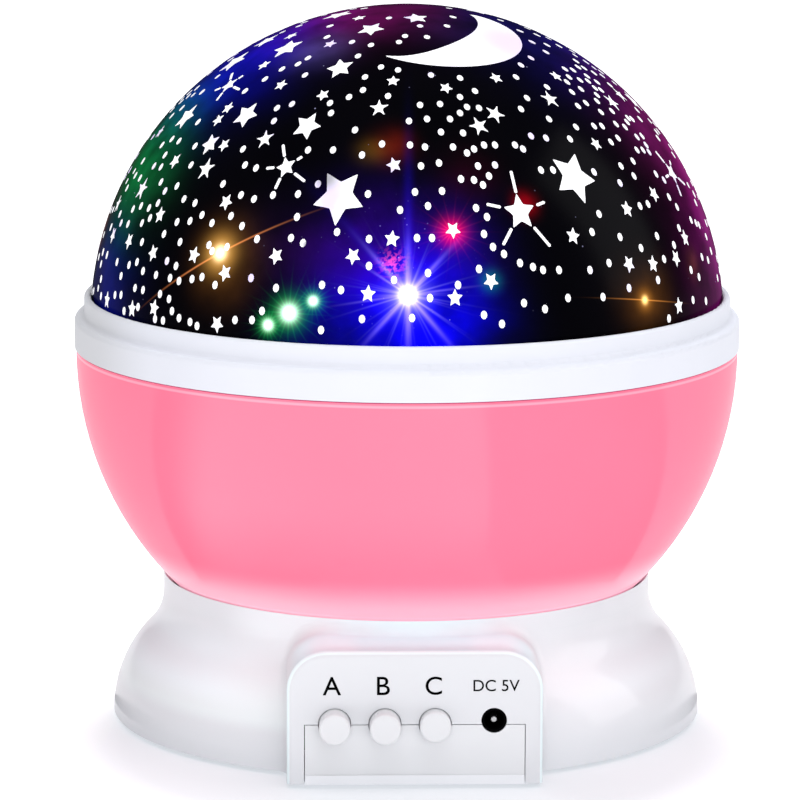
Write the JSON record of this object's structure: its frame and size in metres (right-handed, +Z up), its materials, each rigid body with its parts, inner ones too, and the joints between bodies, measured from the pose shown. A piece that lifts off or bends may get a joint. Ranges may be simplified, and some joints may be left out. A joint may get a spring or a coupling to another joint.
{
  "type": "star night light projector",
  "caption": "Ball-shaped night light: a dark star dome and a coloured bowl turn on a flared base with push buttons and a DC socket; a motor and battery bay are inside.",
  "frame": {"origin": "on the plane the rubber feet stand on, on the bowl's turning axis", "axes": "+Z up along the turning axis, -Y towards the console with the buttons and the DC socket, +X to the right when facing the console"},
  "size_m": [0.1306, 0.1318, 0.1405],
  "materials": {
    "white_shell": "glossy white moulded ABS",
    "white_cover": "glossy white moulded ABS",
    "white_ring": "glossy white moulded ABS",
    "white_button": "glossy white moulded ABS",
    "white_inner": "matt white moulded ABS",
    "reflector_white": "smooth white reflector",
    "pink_bowl": "glossy pink moulded ABS",
    "star_dome": "clear shell printed black inside, with clear windows",
    "clear_cap": "clear moulded plastic",
    "screw_steel": "zinc-plated steel",
    "spring_steel": "nickel-plated spring steel",
    "motor_steel": "drawn steel can",
    "contact_plate": "nickel-plated strip",
    "circuit_board": "green solder mask on fibreglass",
    "black_plastic": "matt black moulded nylon",
    "socket_black": "glossy black moulded nylon",
    "socket_pin": "nickel-plated brass",
    "capacitor_sleeve": "shrink sleeve",
    "gear_plastic": "natural acetal",
    "cell_wrap": "printed shrink wrap without words",
    "rubber_foot": "soft grey rubber",
    "wire_red": "PVC insulation",
    "led_red": "tinted clear epoxy",
    "led_green": "tinted clear epoxy",
    "led_blue": "tinted clear epoxy",
    "led_white": "clear epoxy with yellow phosphor"
  },
  "bodies": {
    "base": {"base_shell": "white_shell", "battery_cell_1": "cell_wrap", "battery_cell_2": "cell_wrap", "battery_cell_3": "cell_wrap", "battery_cell_4": "cell_wrap", "battery_contacts": "contact_plate", "battery_lead": "wire_red", "battery_springs": "spring_steel", "board_screws": "screw_steel", "bottom_cover": "white_cover", "control_board": "circuit_board", "control_chip": "black_plastic", "cover_screws": "screw_steel", "dc_socket_body": "socket_black", "dc_socket_pin": "socket_pin", "gearbox": "gear_plastic", "led_blue": "led_blue", "led_board": "circuit_board", "led_cap": "clear_cap", "led_green": "led_green", "led_holder": "white_inner", "led_lead": "wire_red", "led_red": "led_red", "led_stem": "white_inner", "led_white": "led_white", "motor_can": "motor_steel", "motor_lead": "wire_red", "motor_screws": "screw_steel", "rubber_foot_1": "rubber_foot", "rubber_foot_2": "rubber_foot", "rubber_foot_3": "rubber_foot", "rubber_foot_4": "rubber_foot", "smoothing_capacitor": "capacitor_sleeve", "stem_clip": "spring_steel", "stem_screws": "screw_steel", "switch_body_a": "black_plastic", "switch_body_b": "black_plastic", "switch_body_c": "black_plastic", "thrust_washer": "gear_plastic"},
    "head": {"bowl": "pink_bowl", "rim_ring": "white_ring", "reflector_tray": "reflector_white", "turntable_gear": "gear_plastic", "gear_screws": "screw_steel"},
    "pinion": {"drive_pinion": "gear_plastic", "motor_shaft": "screw_steel"},
    "dome": {"star_dome": "star_dome"},
    "button_a": {"button_cap_a": "white_button", "switch_plunger_a": "black_plastic"},
    "button_b": {"button_cap_b": "white_button", "switch_plunger_b": "black_plastic"},
    "button_c": {"button_cap_c": "white_button", "switch_plunger_c": "black_plastic"},
    "door": {"battery_door": "white_cover"},
    "door_screw": {"battery_door_screw": "screw_steel"}
  },
  "joints": [
    {"name": "head_spin", "type": "hinge", "parent": "base", "child": "head", "pos_m": [0, 0, 0.027], "axis": [0, 0, 1], "continuous": true},
    {"name": "pinion_spin", "type": "hinge", "parent": "base", "child": "pinion", "pos_m": [0, -0.0288, 0.024], "axis": [0, 0, 1], "continuous": true},
    {"name": "dome_lift", "type": "slide", "parent": "head", "child": "dome", "axis": [0, 0, 1], "range_m": [0, 0.07]},
    {"name": "button_a_press", "type": "slide", "parent": "base", "child": "button_a", "axis": [0, 1, 0], "range_m": [0, 0.0026], "stiffness_N_per_m": 300},
    {"name": "button_b_press", "type": "slide", "parent": "base", "child": "button_b", "axis": [0, 1, 0], "range_m": [0, 0.0026], "stiffness_N_per_m": 300},
    {"name": "button_c_press", "type": "slide", "parent": "base", "child": "button_c", "axis": [0, 1, 0], "range_m": [-0.0018, 0.0008], "stiffness_N_per_m": 300},
    {"name": "door_off", "type": "slide", "parent": "base", "child": "door", "axis": [0, 0, -1], "range_m": [0, 0.03]},
    {"name": "door_screw_out", "type": "slide", "parent": "door", "child": "door_screw", "axis": [0, 0, -1], "range_m": [0, 0.006]}
  ],
  "couplings": [
    {"joint": "pinion_spin", "follows": "head_spin", "ratio": -5}
  ]
}
